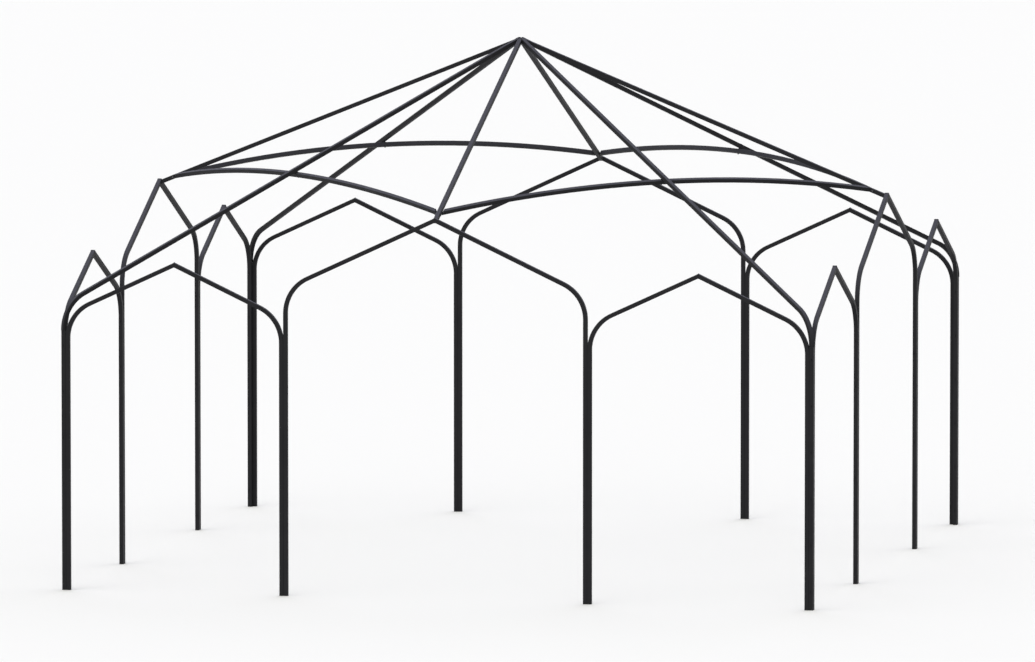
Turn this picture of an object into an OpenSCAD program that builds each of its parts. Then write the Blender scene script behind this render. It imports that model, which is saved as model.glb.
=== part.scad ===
// Square garden pavilion made of bent square steel tube: three arches a side, eight rafters.

/* [Plan] */
// Outside width of each narrow arch, next to a corner
narrow_w = 1460; // [1000:10:1900]
// Outside width of the wide arch in the middle of each side
wide_w = 2020; // [1400:10:2600]

/* [Tube] */
// Outside width of the square tube
tube = 28; // [20:1:36]
// Thickness of the tube's wall
wall = 1.5; // [1:0.5:3]
// Outside radius of the tube's corners
corner_r = 3; // [2:0.5:4]

/* [Arches] */
// Height at which the narrow arches start to bend
narrow_leg_h = 1650; // [1400:10:2000]
// Height at which the wide arches start to bend
wide_leg_h = 1845; // [1600:5:2200]
// Bend radius of every tube, to the middle of the tube
bend_r = 250; // [150:10:350]
// Slope of the arch tops, in degrees
arch_slope = 25; // [15:1:40]
// How much the tube draws in round a bend, where its wall is stretched
bend_thin = 0.1; // [0.1:0.1:0.5]

/* [Roof] */
// Height of the joint between a corner post and its hip rafter
hip_foot_h = 1700; // [1500:10:2000]
// Slope of the hip rafters, in degrees
hip_slope = 24.5; // [18:0.5:32]
// Radius that the purlins are rolled to, or 0 to roll them so that they end at the middle of the rafters
purlin_r = 0; // [0:500:16000]
// Distance of the purlin ends from the inner face of the walls
purlin_inset = 110; // [60:5:300]
// Gap between each hip rafter and the purlin under it
spacer_h = 7; // [3:1:15]
// Gap between the cut end of a purlin and the rafter that its tab is bolted to
purlin_gap = 9; // [5:1:20]
// Thickness of the tabs that fix the purlins to the rafters
tab_t = 3; // [2:0.5:5]
// Width of the tabs
tab_w = 20; // [10:1:20]
// Distance along the rafter from the middle of a purlin's end to its bolt
tab_reach = 32; // [28:1:50]
// Diameter of the hub that the rafters meet at
hub_d = 36; // [24:1:44]

/* [Holes] */
// Diameter of the wire holes in the legs
hole_d = 8; // [4:0.5:12]
// Number of wire holes up each leg
hole_count = 6; // [1:1:6]
// Distance from one wire hole to the next
hole_pitch = 300; // [150:10:320]
// Height of the lowest hole, at every second post
hole_low = 100; // [60:10:160]
// How much higher the holes are at the posts between
hole_step = 20; // [0:5:60]

/* [Feet] */
// Thickness of the plastic plug under each leg
plug_flange = 5; // [3:1:10]
// Depth of the plug inside the tube
plug_depth = 18; // [10:1:30]

/* [Hidden] */

coating = "#2b2b2d";
plastic = "#141416";
$fn = 48;

half_w = wide_w / 2 + narrow_w + tube;          // middle of the plan to the outside
axis_w = half_w - tube / 2;                     // middle of the plan to the tube axes of a wall
inner_w = half_w - tube;                        // middle of the plan to the inside of the walls
narrow_span = (narrow_w - tube) / 2;            // leg axis to apex, narrow arch
wide_span = (wide_w - tube) / 2;                // leg axis to apex, wide arch
arch_turn = 90 - arch_slope;                    // angle that each arch tube is bent through

// The roof's tube axes as heights over the plan
hip_turn = 90 - hip_slope;
hip_far = axis_w * sqrt(2);                     // middle of the plan to a corner post's axis
hip_stub = 6;                                   // straight length under the hip's bend
hip_peak = hip_foot_h + hip_stub + bend_r * tan(hip_turn / 2) + hip_far * tan(hip_slope);
function hip_z(out) = hip_peak - out * tan(hip_slope);

wide_peak = wide_leg_h + bend_r * tan(arch_turn / 2) + wide_span * tan(arch_slope);
rafter_drop = 4;                                // rafter axis under the hip and arch axes it meets
rafter_peak = hip_peak - rafter_drop;
rafter_foot = wide_peak - rafter_drop;
rafter_slope = atan((rafter_peak - rafter_foot) / inner_w);
function rafter_z(out) = rafter_peak - out * tan(rafter_slope);
hub_top = hip_peak + 5;

// Each purlin is an arc in a plane square to the hip rafter that crosses it.
// Its axis would meet the sides of two rafters at their middle, and passes under the hip.
purlin_end = inner_w - purlin_inset;            // plan distance of a purlin end along its rafter
purlin_half = (purlin_end - tube / 2) / sqrt(2);
end_out = (purlin_end + tube / 2) / sqrt(2);    // plan distance of a purlin end along the hip
under_hip = tube + spacer_h;                    // hip axis to purlin axis, square to the hip
fit_rise = (hip_z(end_out) - rafter_z(purlin_end)) * cos(hip_slope) - under_hip;
fit_r = (purlin_half * purlin_half + fit_rise * fit_rise) / (2 * fit_rise);
roll_r = purlin_r > 0 ? purlin_r : fit_r;
purlin_rise = roll_r - sqrt(roll_r * roll_r - purlin_half * purlin_half);
purlin_out = end_out + purlin_rise * sin(hip_slope);
purlin_z = hip_z(purlin_out) - under_hip / cos(hip_slope);
purlin_turn = asin((purlin_half + 0.75 * tube) / roll_r); // half the arc, a little long to be cut
purlin_dip = asin(purlin_half / roll_r);        // slope of the purlin at its ends
seat = 0.02;                                    // clearance at each end of a spacer

module rounded_square(w, r) {
    square([w, w - 2 * r], center = true);
    square([w - 2 * r, w], center = true);
    for (x = [-1, 1], y = [-1, 1])
        translate([x * (w / 2 - r), y * (w / 2 - r)]) circle(r = r);
}

module tube_section(thin = 0) {
    difference() {
        rounded_square(tube - thin, corner_r);
        rounded_square(tube - 2 * wall + thin, max(corner_r - wall, 0.5));
    }
}

// Straight tube up from the origin
module straight(length) {
    linear_extrude(length) tube_section();
}

// Tube bent by an angle round the origin: starts on the -X side going up and turns towards +X.
// It is turned a little too far and cut back, square to the tube. Its wall is stretched thinner.
module bend(angle) {
    difference() {
        rotate([90, 0, 0])
            rotate_extrude(angle = angle + 3, start = 177 - angle)
                translate([bend_r, 0]) tube_section(bend_thin);
        rotate([0, angle, 0]) translate([-bend_r - tube, -tube, 0])
            cube([2 * tube, 2 * tube, 2 * tube]);
    }
}

// Leg, bend and straight slope of one tube, its leg on the Z axis, running to x = reach and past it
module bent_tube(foot_z, leg_top, angle, reach) {
    slope_length = (reach - bend_r * (1 - cos(angle))) / sin(angle) + 2 * tube;
    translate([0, 0, foot_z]) straight(leg_top - foot_z);
    translate([bend_r, 0, leg_top]) {
        bend(angle);
        rotate([0, angle, 0]) translate([-bend_r, 0, 0]) straight(slope_length);
    }
}

// Holes along X through a leg that stands on the Z axis
module wire_holes(raised) {
    for (i = [0 : hole_count - 1])
        translate([0, 0, hole_low + raised * hole_step + i * hole_pitch])
            rotate([0, 90, 0]) cylinder(d = hole_d, h = 2 * tube, center = true);
}

// One half of an arch: leg on the Z axis, mitred upright at the apex at x = span
module half_arch(leg_h, span, raised) {
    color(coating) difference() {
        bent_tube(plug_flange, leg_h, arch_turn, span);
        translate([span, -tube, leg_h]) cube([3 * tube, 2 * tube, 2 * span]);
        wire_holes(raised);
    }
}

// Puts a half arch into the front wall: leg at x, the apex on the side given by dir
module in_wall(x, dir) {
    translate([x, -axis_w, 0]) mirror([dir < 0 ? 1 : 0, 0, 0]) children();
}

// Turns a piece of the front wall to another side: 0 front, 1 right, 2 back, 3 left
module on_side(side) {
    rotate([0, 0, 90 * side]) children();
}

// The six arch halves of a wall, left to right from outside.
// The holes of neighbouring posts are at different heights all the way round.
module wall_tube(side, name) {
    odd = side % 2;
    corner_x = axis_w - tube;
    post_x = wide_w / 2 + tube / 2;
    on_side(side) {
        if (name == "left_outer") in_wall(-corner_x, 1) half_arch(narrow_leg_h, narrow_span, odd);
        if (name == "left_inner") in_wall(-post_x, -1) half_arch(narrow_leg_h, narrow_span, 1 - odd);
        if (name == "wide_left") in_wall(tube - post_x, 1) half_arch(wide_leg_h, wide_span, 1 - odd);
        if (name == "wide_right") in_wall(post_x - tube, -1) half_arch(wide_leg_h, wide_span, odd);
        if (name == "right_inner") in_wall(post_x, 1) half_arch(narrow_leg_h, narrow_span, odd);
        if (name == "right_outer") in_wall(corner_x, -1) half_arch(narrow_leg_h, narrow_span, 1 - odd);
    }
}

// Corner post at the left end of a wall, with holes both ways
module corner_post(side) {
    raised = side % 2;
    color(coating) on_side(side) translate([-axis_w, -axis_w, 0])
        difference() {
            translate([0, 0, plug_flange]) straight(hip_foot_h - plug_flange);
            wire_holes(raised);
            rotate([0, 0, 90]) wire_holes(raised);
        }
}

// Keeps the wedge of an eighth part of the roof round the +X axis, outside the hub
module crown_cut(z) {
    reach = 3 * tube;
    difference() {
        children();
        for (s = [-1, 1])
            rotate([0, 0, s * 22.5]) translate([-reach, s > 0 ? 0 : -reach, z - reach])
                cube([2 * reach, reach, 2 * reach]);
        translate([0, 0, z - reach]) cylinder(d = hub_d, h = 2 * reach);
    }
}

// Hip rafter over the left corner of a side: bent out of the post, its section turned with it
module hip_rafter(side) {
    color(coating) on_side(side) rotate([0, 0, -135])
        crown_cut(hip_peak)
            translate([hip_far, 0, 0]) mirror([1, 0, 0]) difference() {
                bent_tube(hip_foot_h, hip_foot_h + hip_stub, hip_turn, hip_far);
                translate([hip_far, -tube, hip_foot_h]) cube([4 * tube, 2 * tube, 2 * hip_far]);
            }
}

// Straight rafter from the apex of a wide arch to the crown
module centre_rafter(side) {
    length = inner_w / cos(rafter_slope) + 2 * tube;
    color(coating) on_side(side) rotate([0, 0, -90])
        crown_cut(rafter_peak)
            difference() {
                translate([0, 0, rafter_peak]) rotate([0, 90 + rafter_slope, 0]) straight(length);
                translate([inner_w, -tube, rafter_foot - 4 * tube]) cube([4 * tube, 2 * tube, 8 * tube]);
            }
}

// Puts something into the upright frame of the purlin over the left corner of a side
module at_hip(side) {
    on_side(side) rotate([0, 0, -135]) children();
}

// Puts something into the plane of a purlin: its middle at the origin, X out and down the hip
module in_purlin_plane() {
    translate([purlin_out, 0, purlin_z]) rotate([0, hip_slope, 0]) children();
}

// Tube of a purlin, rolled as two halves of one arc. Each end is sawn at 45 degrees, square to
// its top, and stops short of the rafter. The tube's corners are three flats each.
module purlin_tube() {
    saw = 3 * tube;
    difference() {
        translate([0, 0, -roll_r]) rotate([0, -90, 0])
            for (first = [-purlin_turn, 0])
                rotate_extrude(angle = purlin_turn, start = first, $fn = 720)
                    translate([roll_r, 0]) tube_section($fn = 12);
        for (s = [-1, 1])
            translate([0, s * (purlin_half - purlin_gap * sqrt(2)), -purlin_rise])
                rotate([0, 0, s * 45])
                    translate([-saw, s > 0 ? 0 : -saw, -saw / 2]) cube([2 * saw, saw, saw]);
    }
}

// Strap of a tab, from inside the outer wall of the purlin's tube to past the side of the rafter
module tab_strap(s) {
    grip = 1.5 * tube;
    translate([0, s * purlin_half, -purlin_rise]) rotate([-s * purlin_dip, 0, 0])
        translate([tube / 2 - wall / 2 - tab_t, -grip, -tab_w / 2])
            cube([tab_t, 2 * grip, tab_w]);
}

// Ear of a tab, flat on the side of the rafter, with its bolt at the middle of the round end
module tab_ear(s) {
    start = tube / 2;
    rotate([0, 0, s * 45]) translate([purlin_end, -s * tube / 2, rafter_z(purlin_end)])
        rotate([0, rafter_slope, 0]) rotate([90, 0, 0])
            translate([0, 0, s > 0 ? 0 : -tab_t]) linear_extrude(tab_t) {
                translate([start, -tab_w / 2]) square([tab_reach - start, tab_w]);
                translate([tab_reach, 0]) circle(d = tab_w);
            }
}

// Curved purlin between two centre rafters, under the hip at the left corner of a side.
// A bent tab in each end is bolted to the side of a rafter.
module purlin(side) {
    color(coating) at_hip(side) {
        in_purlin_plane() purlin_tube();
        for (s = [-1, 1]) {
            difference() {
                in_purlin_plane() tab_strap(s);
                rotate([0, 0, s * 45]) translate([0, s > 0 ? -tube / 2 : -half_w, 0])
                    cube([half_w, half_w + tube / 2, 2 * hip_peak]);
            }
            tab_ear(s);
        }
    }
}

// Round spacers on the bolts that hold the purlins to the hip rafters
module purlin_spacers() {
    color(coating) for (side = [0 : 3])
        at_hip(side) in_purlin_plane()
            translate([0, 0, tube / 2 + seat]) cylinder(d = 0.8 * tube, h = spacer_h - 2 * seat);
}

// Hub on the middle axis, which the eight rafters are welded round
module crown_hub() {
    depth = hub_top - rafter_peak + tube;
    color(coating) translate([0, 0, hub_top - depth]) cylinder(d = hub_d, h = depth);
}

// Plug in the foot of a tube that stands on the Z axis
module foot_plug() {
    inside = tube - 2 * wall - 0.4;
    translate([0, 0, plug_flange / 2]) cube([tube - 0.6, tube - 0.6, plug_flange], center = true);
    translate([0, 0, plug_flange]) linear_extrude(plug_depth) rounded_square(inside, 2);
}

module foot_plugs() {
    leg_x = wide_w / 2 + tube / 2;
    color(plastic) for (side = [0 : 3]) on_side(side)
        for (x = [-axis_w, tube - axis_w, -leg_x, tube - leg_x, leg_x - tube, leg_x, axis_w - tube])
            translate([x, -axis_w, 0]) foot_plug();
}

corner_post(0);  // front_left_post
corner_post(1);  // front_right_post
corner_post(2);  // back_right_post
corner_post(3);  // back_left_post
wall_tube(0, "left_outer");  // front_left_arch_outer
wall_tube(0, "left_inner");  // front_left_arch_inner
wall_tube(0, "wide_left");  // front_wide_arch_left
wall_tube(0, "wide_right");  // front_wide_arch_right
wall_tube(0, "right_inner");  // front_right_arch_inner
wall_tube(0, "right_outer");  // front_right_arch_outer
wall_tube(1, "left_outer");  // right_left_arch_outer
wall_tube(1, "left_inner");  // right_left_arch_inner
wall_tube(1, "wide_left");  // right_wide_arch_left
wall_tube(1, "wide_right");  // right_wide_arch_right
wall_tube(1, "right_inner");  // right_right_arch_inner
wall_tube(1, "right_outer");  // right_right_arch_outer
wall_tube(2, "left_outer");  // back_left_arch_outer
wall_tube(2, "left_inner");  // back_left_arch_inner
wall_tube(2, "wide_left");  // back_wide_arch_left
wall_tube(2, "wide_right");  // back_wide_arch_right
wall_tube(2, "right_inner");  // back_right_arch_inner
wall_tube(2, "right_outer");  // back_right_arch_outer
wall_tube(3, "left_outer");  // left_left_arch_outer
wall_tube(3, "left_inner");  // left_left_arch_inner
wall_tube(3, "wide_left");  // left_wide_arch_left
wall_tube(3, "wide_right");  // left_wide_arch_right
wall_tube(3, "right_inner");  // left_right_arch_inner
wall_tube(3, "right_outer");  // left_right_arch_outer
centre_rafter(0);  // front_rafter
centre_rafter(1);  // right_rafter
centre_rafter(2);  // back_rafter
centre_rafter(3);  // left_rafter
hip_rafter(0);  // front_left_hip
hip_rafter(1);  // front_right_hip
hip_rafter(2);  // back_right_hip
hip_rafter(3);  // back_left_hip
purlin(0);  // front_left_purlin
purlin(1);  // front_right_purlin
purlin(2);  // back_right_purlin
purlin(3);  // back_left_purlin
purlin_spacers();
crown_hub();
foot_plugs();
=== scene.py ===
"""Metal garden pavilion: square steel tube, welded, powder-coated near black."""

import math

import bmesh
import bpy
from mathutils import Matrix, Vector
from mathutils.bvhtree import BVHTree


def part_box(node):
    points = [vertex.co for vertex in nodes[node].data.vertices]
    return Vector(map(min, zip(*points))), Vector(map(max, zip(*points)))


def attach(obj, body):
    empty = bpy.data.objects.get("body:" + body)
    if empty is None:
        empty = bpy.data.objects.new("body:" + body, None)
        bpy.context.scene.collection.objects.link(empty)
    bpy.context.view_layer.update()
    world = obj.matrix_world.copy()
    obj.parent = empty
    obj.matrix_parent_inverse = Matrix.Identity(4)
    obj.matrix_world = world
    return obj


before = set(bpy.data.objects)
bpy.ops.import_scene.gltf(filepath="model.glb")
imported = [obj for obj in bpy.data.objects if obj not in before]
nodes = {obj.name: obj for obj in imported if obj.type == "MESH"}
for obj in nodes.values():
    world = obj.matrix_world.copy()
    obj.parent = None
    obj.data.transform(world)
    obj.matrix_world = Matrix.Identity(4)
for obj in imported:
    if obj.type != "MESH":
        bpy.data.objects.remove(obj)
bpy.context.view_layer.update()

SIDES = ("front", "right", "back", "left")
Z = Vector((0, 0, 1))

# Driving sizes, from the frame, in metres
post_low, post_high = (Vector(corner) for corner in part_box("front_left_post"))
TUBE = post_high.x - post_low.x
WALL_OUT = -post_low.y  # middle of the plan to the outside of a wall
WALL_AXIS = WALL_OUT - TUBE / 2
WALL_IN = WALL_OUT - TUBE
HUB_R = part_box("crown_hub")[1][0]

# Slopes of the tubes, and the radius of their corners
ARCH_SLOPE = math.radians(25)
RAFTER_SLOPE = math.radians(22.02)
HIP_SLOPE = math.radians(24.5)
CORNER = 0.003


# ---------------------------------------------------------------- meshes

BEAD = 0.0017  # radius of a weld bead
BEAD_STEP = 0.0009  # from one ring of a bead's mesh to the next
BEAD_SIDES = 8  # points round each ring
BEAD_CORE = 0.86  # share of the radius that has no ripple
RIPPLE = 0.0027  # from one ripple to the next
RIPPLE_SHARE = 0.2  # height of a ripple, as a share of the radius
WOBBLE_SHARE = 0.06  # of a slower unevenness
WOBBLE_RATE = 610  # radians a metre
REFERENCE = Vector((0.31, 0.17, 0.93))  # sets where each ring of a bead starts
NEARLY_ALONG = 0.98  # cosine past which a bead runs too close to the reference
TIP, TAPER = 0.12, 0.5  # square of a bead's size at its tip, and what each radius along adds to it
CORNER_POINTS = 4  # round each corner of a tube's outline


def add_object(name, bm, material, smooth=False):
    """Turns a bmesh into a piece of the object that rides on the frame."""
    bmesh.ops.recalc_face_normals(bm, faces=bm.faces)
    mesh = bpy.data.meshes.new(name)
    for face in bm.faces:
        face.smooth = smooth
    bm.to_mesh(mesh)
    bm.free()
    mesh.materials.append(material)
    piece = bpy.data.objects.new(name, mesh)
    bpy.context.scene.collection.objects.link(piece)
    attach(piece, "root")


def side_turn(side):
    """Turns a point of the front wall to another side: 0 front, 1 right, 2 back, 3 left."""
    return Matrix.Rotation(side * math.pi / 2, 4, "Z")


def front_box(side, half):
    """Two opposite corners of the box of a wall's tube, with the wall turned to the front."""
    inverse = side_turn(side).inverted()
    return [inverse @ Vector(corner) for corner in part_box(f"{SIDES[side]}_{half}")]


def resample(path, closed):
    """Points along a path at the spacing of a bead's rings."""
    corners = path + path[:1] if closed else path
    points = []
    for a, b in zip(corners, corners[1:]):
        count = max(1, round((b - a).length / BEAD_STEP))
        points += [a.lerp(b, i / count) for i in range(count)]
    return points if closed else points + [corners[-1]]


def skin(bm, rings, closed=False):
    """Faces between each ring of points and the next, with the two ends closed or joined."""
    pairs = list(zip(rings, rings[1:]))
    if closed:
        pairs.append((rings[-1], rings[0]))
    for low, high in pairs:
        for k in range(len(low)):
            n = (k + 1) % len(low)
            bm.faces.new((low[k], low[n], high[n], high[k]))
    if not closed:
        bm.faces.new(rings[0])
        bm.faces.new(rings[-1])


def bead(bm, path, radius, closed=False):
    """A rippled weld bead along a path of points, tapered at its ends if it has any."""
    points = resample(path, closed)
    count = len(points)
    rings = []
    run = 0.0
    for i, point in enumerate(points):
        before = points[i - 1] if i or closed else point
        after = points[(i + 1) % count] if i + 1 < count or closed else point
        along = (after - before).normalized()
        run += (point - before).length
        side = along.orthogonal().normalized()
        if abs(along.dot(REFERENCE)) < NEARLY_ALONG:
            side = along.cross(REFERENCE).normalized()
        up = side.cross(along)
        wave = (run % RIPPLE) / RIPPLE
        ripple = RIPPLE_SHARE * math.sin(math.pi * wave)
        size = radius * (BEAD_CORE + ripple + WOBBLE_SHARE * math.sin(run * WOBBLE_RATE))
        if not closed:
            to_end = min(i, count - 1 - i) * BEAD_STEP / radius
            size *= math.sqrt(min(1.0, TIP + TAPER * to_end))
        rings.append([
            bm.verts.new(point + size * (math.cos(t) * side + math.sin(t) * up))
            for t in (2 * math.pi * k / BEAD_SIDES for k in range(BEAD_SIDES))
        ])
    skin(bm, rings, closed)


def rounded_loop(centre, across, half_up):
    """The outline of a tube cut upright, with rounded corners: half_up is half its height."""
    points = []
    for sx, sy, start in ((1, 1, 0), (-1, 1, 90), (-1, -1, 180), (1, -1, 270)):
        middle = centre + sx * (TUBE / 2 - CORNER) * across + sy * (half_up - CORNER) * Z
        for k in range(CORNER_POINTS):
            turn = math.radians(start + 90 / (CORNER_POINTS - 1) * k)
            points.append(middle + CORNER * (math.cos(turn) * across + math.sin(turn) * Z))
    return points


def lathe(bm, place, profile, segments):
    """Revolves (radius, height) points about the Z axis of a matrix. The ends are closed."""
    rings = []
    for radius, height in profile:
        rings.append([
            bm.verts.new(place @ Vector((radius * math.cos(t), radius * math.sin(t), height)))
            for t in (2 * math.pi * k / segments for k in range(segments))
        ])
    skin(bm, rings)


# ------------------------------------------------------------- materials

COLOUR_A, COLOUR_B, COLOUR_OUT = 6, 7, 2  # the colour sockets of a Mix node

COAT = ((0.0260, 0.0260, 0.0280), (0.0305, 0.0305, 0.0325))  # the two tones of its clouding
# Pale dust, made bluer and brighter than dust alone as a painted sheen of the light from above
DUST_AND_SHEEN = (0.225, 0.225, 0.29)
DUST_AND_SHEEN_COVER = 0.25  # the most that dust and its painted sheen cover, on a face that looks straight up
DUST_DULLS = 0.9  # roughness that full dust adds
PLASTIC, SCUFFED = (0.010, 0.010, 0.0105), (0.045, 0.044, 0.042)
ZINC = ((0.085, 0.087, 0.092), (0.17, 0.17, 0.175))  # whole, and worn


class Nodes:
    """A few shortcuts for building the node tree of a material or a world."""

    def __init__(self, owner, output):
        owner.use_nodes = True
        self.tree = owner.node_tree
        self.tree.nodes.clear()
        self.out = self.add(output)

    def add(self, kind, **settings):
        node = self.tree.nodes.new(kind)
        for key, value in settings.items():
            setattr(node, key, value)
        return node

    def link(self, source, target):
        self.tree.links.new(source, target)

    def noise(self, scale, detail, roughness=0.5):
        node = self.add("ShaderNodeTexNoise")
        node.inputs["Scale"].default_value = scale
        node.inputs["Detail"].default_value = detail
        node.inputs["Roughness"].default_value = roughness
        self.link(self.add("ShaderNodeTexCoord").outputs["Object"], node.inputs["Vector"])
        return node.outputs["Fac"]

    def ramp(self, source, low, high, to_low=0.0, to_high=1.0):
        node = self.add("ShaderNodeMapRange")
        node.inputs["From Min"].default_value = low
        node.inputs["From Max"].default_value = high
        node.inputs["To Min"].default_value = to_low
        node.inputs["To Max"].default_value = to_high
        self.link(source, node.inputs["Value"])
        return node.outputs["Result"]

    def math(self, operation, first, second):
        node = self.add("ShaderNodeMath", operation=operation)
        for socket, value in zip(node.inputs, (first, second)):
            if isinstance(value, (int, float)):
                socket.default_value = value
            else:
                self.link(value, socket)
        return node.outputs["Value"]

    def mix(self, factor, first, second):
        node = self.add("ShaderNodeMix", data_type="RGBA")
        self.link(factor, node.inputs["Factor"])
        for socket, value in ((node.inputs[COLOUR_A], first), (node.inputs[COLOUR_B], second)):
            if isinstance(value, tuple):
                socket.default_value = (*value, 1.0)
            else:
                self.link(value, socket)
        return node.outputs[COLOUR_OUT]

    def bump(self, height, strength, distance, normal=None):
        node = self.add("ShaderNodeBump")
        node.inputs["Strength"].default_value = strength
        node.inputs["Distance"].default_value = distance
        self.link(height, node.inputs["Height"])
        if normal is not None:
            self.link(normal, node.inputs["Normal"])
        return node.outputs["Normal"]

    def shader(self, kind, socket, source):
        """Adds the shader, links a source to one of its sockets and links it to the output."""
        node = self.add(kind)
        self.link(source, node.inputs[socket])
        self.link(node.outputs[0], self.out.inputs["Surface"])
        return node


def new_material(name):
    """An empty material and its node tree."""
    material = bpy.data.materials.new(name)
    return material, Nodes(material, "ShaderNodeOutputMaterial")


def powder_coat():
    """Near-black satin powder coat: orange peel, faint clouding, and dust with a painted bluish sheen of the
    top light on what faces up.
    """
    material, n = new_material("powder_coat")
    cloud = n.ramp(n.noise(scale=5.0, detail=5.0, roughness=0.6), low=0.35, high=0.65)
    facing = n.add("ShaderNodeSeparateXYZ")
    n.link(n.add("ShaderNodeNewGeometry").outputs["Normal"], facing.inputs["Vector"])
    upward = n.ramp(facing.outputs["Z"], low=0.0, high=1.0)
    patches = n.ramp(n.noise(scale=38.0, detail=6.0, roughness=0.65), low=0.35, high=0.7, to_low=0.7)
    # Dust on what faces up, which also paints the bluish sheen of the top light onto those faces
    dust_and_sheen = n.math("MULTIPLY", n.math("MULTIPLY", upward, patches), DUST_AND_SHEEN_COVER)
    colour = n.mix(dust_and_sheen, n.mix(cloud, *COAT), DUST_AND_SHEEN)
    shader = n.shader("ShaderNodeBsdfPrincipled", "Base Color", colour)
    satin = n.ramp(n.noise(scale=24.0, detail=4.0), low=0.3, high=0.7, to_low=0.44, to_high=0.54)
    n.link(n.math("ADD", satin, n.math("MULTIPLY", dust_and_sheen, DUST_DULLS)), shader.inputs["Roughness"])
    shader.inputs["Specular IOR Level"].default_value = 0.05
    peel = n.bump(n.noise(scale=620.0, detail=2.0), strength=0.22, distance=0.00025)
    waves = n.bump(n.noise(scale=70.0, detail=2.0), strength=0.12, distance=0.0006, normal=peel)
    n.link(waves, shader.inputs["Normal"])
    return material


def plug_plastic():
    """Black moulded plastic with a fine grain, scuffed in places."""
    material, n = new_material("plug_plastic")
    scuff = n.ramp(n.noise(scale=160.0, detail=5.0, roughness=0.7), low=0.45, high=0.75, to_high=0.55)
    shader = n.shader("ShaderNodeBsdfPrincipled", "Base Color", n.mix(scuff, PLASTIC, SCUFFED))
    matt = n.ramp(n.noise(scale=90.0, detail=4.0), low=0.3, high=0.7, to_low=0.55, to_high=0.75)
    n.link(matt, shader.inputs["Roughness"])
    shader.inputs["Specular IOR Level"].default_value = 0.3
    grain = n.bump(n.noise(scale=1400.0, detail=2.0), strength=0.35, distance=0.0002)
    n.link(grain, shader.inputs["Normal"])
    return material


def bolt_metal():
    """Dark zinc-plated steel, dulled by weather, with paler worn spots."""
    material, n = new_material("bolt_metal")
    worn = n.ramp(n.noise(scale=900.0, detail=4.0, roughness=0.6), low=0.45, high=0.75)
    shader = n.shader("ShaderNodeBsdfPrincipled", "Base Color", n.mix(worn, *ZINC))
    dulled = n.ramp(n.noise(scale=400.0, detail=3.0), low=0.3, high=0.7, to_low=0.34, to_high=0.5)
    n.link(dulled, shader.inputs["Roughness"])
    shader.inputs["Metallic"].default_value = 1.0
    n.link(n.bump(n.noise(scale=1500.0, detail=2.0), strength=0.2, distance=0.0001), shader.inputs["Normal"])
    return material


coat = powder_coat()
plastic = plug_plastic()
bolt = bolt_metal()
for name, node in nodes.items():
    node.data.materials.clear()
    node.data.materials.append(plastic if name == "foot_plugs" else coat)


# ----------------------------------------------------------------- welds

ARCHES = (
    ("left_arch_outer", "left_arch_inner"),
    ("wide_arch_left", "wide_arch_right"),
    ("right_arch_inner", "right_arch_outer"),
)
STITCH = 0.028  # length of a stitch between two legs
STITCH_SINK = 0.0012  # how far its middle lies in from the legs' faces
STITCH_HEIGHTS = (0.21, 0.66, 1.11, 1.52)
FOOT_POINTS = 48  # round the joint of a hip and its post
SEAM_POINTS = 9  # along the seam of a rafter and a hip
SEAM_END = 0.001  # from the end of that seam to the end of its bead
SEAM_SIDE = 0.03  # radians from the seam to where each side's height is taken
STEP_COVER = 0.0006  # how far a seam's bead laps past the step it fills
HUB_BEAD = 0.0024  # radius of the bead round the hub
HUB_CLEAR = 0.0012  # from the hub's rim out to where the tubes' height is taken
RIM = 96  # points round the hub's rim
RIM_SMOOTH = RIM // 24  # points each way that the rim's heights are averaged over
OVER_ROOF, UNDER_ROOF = 4.0, 3.0  # heights over and under the tubes at the crown


def apex_welds(side):
    """A bead round the mitre at the top of each arch of a wall."""
    bm = bmesh.new()
    turn = side_turn(side)
    half_up = TUBE / 2 / math.cos(ARCH_SLOPE)
    for arch in ARCHES:
        halves = [front_box(side, half) for half in arch]
        ends = sorted(corner.x for half in halves for corner in half)
        top = max(corner.z for corner in halves[0])
        centre = Vector(((ends[1] + ends[2]) / 2, -WALL_AXIS, top - half_up))
        loop = rounded_loop(centre, Vector((0, 1, 0)), half_up)
        bead(bm, [turn @ p for p in loop], BEAD, closed=True)
    add_object(f"{SIDES[side]}_arch_welds", bm, coat, smooth=True)


def leg_welds(side):
    """Short stitches in the grooves between the legs that stand side by side."""
    bm = bmesh.new()
    turn = side_turn(side)
    for half in ("left_arch_outer", "wide_arch_left"):
        groove = min(corner.x for corner in front_box(side, half))
        for x in (groove, -groove):
            for y in (-WALL_OUT + STITCH_SINK, -WALL_IN - STITCH_SINK):
                for z in STITCH_HEIGHTS:
                    line = [Vector((x, y, z + s * STITCH / 2)) for s in (-1, 1)]
                    bead(bm, [turn @ p for p in line], BEAD)
    add_object(f"{SIDES[side]}_leg_welds", bm, coat, smooth=True)


def half_width_share(t):
    """Half a square's width, as a share of the way from its middle to its edge in the direction t."""
    return max(abs(math.cos(t)), abs(math.sin(t)))


def roof_welds():
    """Beads at the feet of the rafters and hips."""
    bm = bmesh.new()
    half_up = TUBE / 2 / math.cos(RAFTER_SLOPE)
    for side in range(4):
        turn = side_turn(side)
        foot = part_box(f"{SIDES[side]}_rafter")[0][2]
        loop = rounded_loop(Vector((0, -WALL_IN, foot + half_up)), Vector((1, 0, 0)), half_up)
        bead(bm, [turn @ p for p in loop], BEAD, closed=True)
        # The hip's section is turned an eighth from its post's: the bead follows the outline they share
        axis = Vector((-WALL_AXIS, -WALL_AXIS, post_high.z))
        loop = []
        for k in range(FOOT_POINTS):
            t = 2 * math.pi * k / FOOT_POINTS
            reach = TUBE / 2 / max(half_width_share(t), half_width_share(t - math.pi / 4))
            loop.append(axis + reach * Vector((math.cos(t), math.sin(t), 0)))
        bead(bm, [turn @ p for p in loop], BEAD, closed=True)
    add_object("roof_foot_welds", bm, coat, smooth=True)


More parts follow.
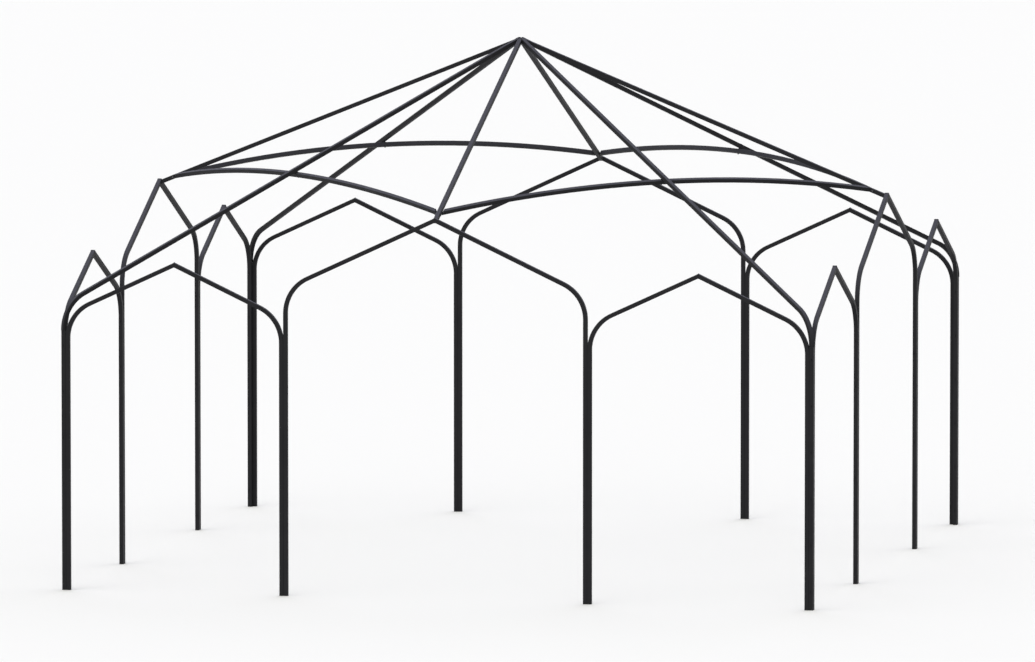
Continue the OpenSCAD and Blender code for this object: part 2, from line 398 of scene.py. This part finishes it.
def roof_height(trees, out, t, down):
    """Height of the roof tubes' top, or of their underside, at a radius and a direction in the plan."""
    start = Vector((out * math.cos(t), out * math.sin(t), OVER_ROOF if down else UNDER_ROOF))
    hits = [tree.ray_cast(start, -Z if down else Z)[0] for tree in trees]
    heights = [hit.z for hit in hits if hit is not None]
    if not heights:
        return None
    return max(heights) if down else min(heights)


def seam_bead(bm, trees, t, down):
    """A bead that fills the step between a rafter and the hip beside it."""
    meet = TUBE / 2 / math.tan(math.pi / 8)
    line = []
    steps = []
    for s in range(SEAM_POINTS):
        out = HUB_R + (meet - HUB_R - SEAM_END) * s / (SEAM_POINTS - 1)
        found = [roof_height(trees, out, t + d, down) for d in (-SEAM_SIDE, SEAM_SIDE)]
        if None not in found:
            line.append(Vector((out * math.cos(t), out * math.sin(t), sum(found) / 2)))
            steps.append(abs(found[0] - found[1]))
    bead(bm, line, max(BEAD, max(steps) / 2 + STEP_COVER))


def rim_bead(bm, trees, down):
    """A bead round the hub, which rises and falls gently from the hips to the rafters."""
    turns = [2 * math.pi * k / RIM for k in range(RIM)]
    heights = [roof_height(trees, HUB_R + HUB_CLEAR, t, down) for t in turns]
    ring = []
    for k, t in enumerate(turns):
        near = [heights[(k + d) % RIM] for d in range(-RIM_SMOOTH, RIM_SMOOTH + 1)]
        near = [z for z in near if z is not None]
        ring.append(Vector((HUB_R * math.cos(t), HUB_R * math.sin(t), sum(near) / len(near))))
    bead(bm, ring, HUB_BEAD, closed=True)


def crown_welds():
    """Beads between the eight tubes where they meet and round the hub, over and under the roof."""
    bm = bmesh.new()
    trees = [
        BVHTree.FromPolygons([v.co for v in o.data.vertices], [p.vertices for p in o.data.polygons])
        for name, o in nodes.items() if name.endswith(("_rafter", "_hip"))
    ]
    for down in (True, False):
        for k in range(8):
            seam_bead(bm, trees, math.pi / 8 + k * math.pi / 4, down)
        rim_bead(bm, trees, down)
    add_object("crown_welds", bm, coat, smooth=True)


for side in range(4):
    apex_welds(side)
    leg_welds(side)
roof_welds()
crown_welds()


# ----------------------------------------------------------------- bolts

TAB_WIDTH = 0.020  # of the purlins' tabs, which have round ends
TAB_THICK = 0.003
SPACER_R = 0.4 * TUBE
SPACER_HALF = 0.00348  # half the height of a spacer
HIP_TO_SPACER = 0.0315  # middle of a spacer to the top of the hip, or to the underside of the purlin

# Radius and height of a washer's and a nut's outline, from the face that they lie on
WASHER = ((0.0056, -0.0004), (0.0060, 0.0), (0.0060, 0.0010), (0.0056, 0.0013))
NUT = ((0.0054, 0.0010), (0.0057, 0.0014), (0.0057, 0.0052), (0.0050, 0.0058))
HEAD_R = 0.0048
HEAD_FOOT, HEAD_SHOULDER = 0.0010, 0.0018  # heights
DOME = 0.0024  # height of the dome over the shoulder
DOME_RINGS = 6
THREAD_FOOT = (0.0029, 0.0050)  # radius and height, inside the nut
THREAD_LOW = 0.0056  # height of the first crest
THREAD_PITCH = 0.0007  # from one crest to the next
THREAD_CRESTS = 6
THREAD_OUT, THREAD_IN = 0.0030, 0.0026  # radius of a crest and of a root
ROUND, THREAD_ROUND, SIX_SIDES = 28, 20, 6  # points round each outline


def dome_head(bm, place):
    """A washer and a domed head, standing up the Z axis of a matrix."""
    lathe(bm, place, WASHER, ROUND)
    dome = [(HEAD_R, HEAD_FOOT), (HEAD_R, HEAD_SHOULDER)]
    for k in range(1, DOME_RINGS):
        t = math.pi / 2 * k / DOME_RINGS
        dome.append((HEAD_R * math.cos(t), HEAD_SHOULDER + DOME * math.sin(t)))
    lathe(bm, place, dome, ROUND)


def nut(bm, place):
    """A washer, a six-sided nut and the threaded end of the bolt, up the Z axis of a matrix."""
    lathe(bm, place, WASHER, ROUND)
    lathe(bm, place, NUT, SIX_SIDES)
    thread = [THREAD_FOOT]
    for k in range(THREAD_CRESTS):
        crest = THREAD_LOW + THREAD_PITCH * k
        thread += [(THREAD_OUT, crest), (THREAD_IN, crest + THREAD_PITCH / 2)]
    lathe(bm, place, thread, THREAD_ROUND)


def standing(point, along):
    """A matrix at a point, its Z axis along a direction."""
    return Matrix.Translation(point) @ along.to_track_quat("Z", "Y").to_matrix().to_4x4()


def purlin_bolts():
    """Bolts through each rafter and the purlin tabs on both its sides."""
    bm = bmesh.new()
    foot_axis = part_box("front_rafter")[0][2] + TUBE / 2 / math.cos(RAFTER_SLOPE)
    out = -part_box("front_left_purlin")[0][1] - TAB_WIDTH / 2
    z = foot_axis + (WALL_IN - out) * math.tan(RAFTER_SLOPE)
    for side in range(4):
        for s, end in ((1, dome_head), (-1, nut)):
            place = standing(Vector((s * (TUBE / 2 + TAB_THICK), -out, z)), Vector((s, 0, 0)))
            end(bm, side_turn(side) @ place)
    add_object("purlin_bolts", bm, bolt)


def hip_bolts():
    """Bolts through each hip, its spacer and the purlin under it."""
    bm = bmesh.new()
    level = -math.sin(HIP_SLOPE) / math.sqrt(2)
    along = Vector((level, level, math.cos(HIP_SLOPE)))
    high = Vector(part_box("purlin_spacers")[1])
    reach = [SPACER_R * math.sqrt(1 - c * c) + SPACER_HALF * abs(c) for c in along]
    middle = Vector((reach[0] - high.x, reach[1] - high.y, high.z - reach[2]))
    for side in range(4):
        for s, end in ((1, dome_head), (-1, nut)):
            end(bm, side_turn(side) @ standing(middle + s * HIP_TO_SPACER * along, s * along))
    add_object("hip_bolts", bm, bolt)


purlin_bolts()
hip_bolts()


# ----------------------------------------------------------------- stage

BACKDROP = 0.965  # level of the plain background
SKY = 0.62  # light from all round
# Name, strength, angle across, colour and the direction the light comes from
LAMPS = (
    ("back_window", 1.35, 60, (0.82, 0.83, 1.0), Vector((-0.12, 0.74, 0.62))),
    ("key", 1.15, 85, (1.0, 1.0, 1.0), Vector((-0.35, -0.64, 0.68))),
    ("rim", 0.45, 40, (1.0, 1.0, 1.0), Vector((0.62, 0.50, 0.60))),
)
FLOOR_GREY = 0.42  # where the floor only throws light back up
FLOOR_TRIM = 1.13  # brings the floor to the backdrop's level in the render
FLOOR_REACH = 400.0

# The camera stands 13 degrees right of straight ahead and far off, as the photo's perspective shows
AZIMUTH = math.radians(12.887)
ELEVATION = math.radians(5.627)
DISTANCE = 79.553
AIM = Vector((-0.0208, -0.0048, 1.512))  # what the camera looks at
LENS, SENSOR = 414.96, 36.0  # millimetres
CLIP = (1.0, 2000.0)


def seen_directly(n):
    """1 for what the camera, a reflection or a clear material looks at."""
    path = n.add("ShaderNodeLightPath")
    rays = n.math("MAXIMUM", path.outputs["Is Camera Ray"], path.outputs["Is Glossy Ray"])
    return n.math("MAXIMUM", rays, path.outputs["Is Transmission Ray"])


def floor_light(channel):
    """Light that falls on the open floor from the sky and the lamps, in red, green or blue."""
    lamps = sum(
        strength * colour[channel] * source.normalized().z
        for _, strength, _, colour, source in LAMPS
    )
    return SKY + lamps / math.pi


def floor_material():
    """White where it is seen, so that it meets the backdrop, and grey where it only throws light back up."""
    material, n = new_material("pale_floor")
    seen = tuple(BACKDROP * FLOOR_TRIM / floor_light(channel) for channel in range(3))
    n.shader("ShaderNodeBsdfDiffuse", "Color", n.mix(seen_directly(n), (FLOOR_GREY,) * 3, seen))
    return material


def add_floor():
    """A level plane that reaches past the view."""
    bm = bmesh.new()
    bmesh.ops.create_grid(bm, x_segments=1, y_segments=1, size=FLOOR_REACH)
    mesh = bpy.data.meshes.new("floor")
    bm.to_mesh(mesh)
    bm.free()
    mesh.materials.append(floor_material())
    floor = bpy.data.objects.new("floor", mesh)
    bpy.context.scene.collection.objects.link(floor)


def add_world():
    """A world that lights at one level and is seen at another."""
    world = bpy.data.worlds.new("studio")
    bpy.context.scene.world = world
    n = Nodes(world, "ShaderNodeOutputWorld")
    level = n.ramp(seen_directly(n), low=0.0, high=1.0, to_low=SKY, to_high=BACKDROP)
    n.shader("ShaderNodeBackground", "Strength", level)


def add_lamps():
    """The lamps, which are soft and far off."""
    for name, strength, across, colour, source in LAMPS:
        light = bpy.data.lights.new(name, "SUN")
        light.energy = strength
        light.angle = math.radians(across)
        light.color = colour
        lamp = bpy.data.objects.new(name, light)
        lamp.rotation_euler = source.to_track_quat("Z", "Y").to_euler()
        bpy.context.scene.collection.objects.link(lamp)


def add_camera():
    """The camera, at the photo's viewing angle."""
    camera = bpy.data.cameras.new("camera")
    camera.sensor_width = SENSOR
    camera.lens = LENS
    camera.clip_start, camera.clip_end = CLIP
    eye = bpy.data.objects.new("camera", camera)
    level = math.cos(ELEVATION)
    away = Vector((math.sin(AZIMUTH) * level, -math.cos(AZIMUTH) * level, math.sin(ELEVATION)))
    eye.location = AIM + DISTANCE * away
    eye.rotation_euler = away.to_track_quat("Z", "Y").to_euler()
    bpy.context.scene.collection.objects.link(eye)
    bpy.context.scene.camera = eye


add_floor()
add_world()
add_lamps()
add_camera()
bpy.context.scene.view_settings.view_transform = "Standard"
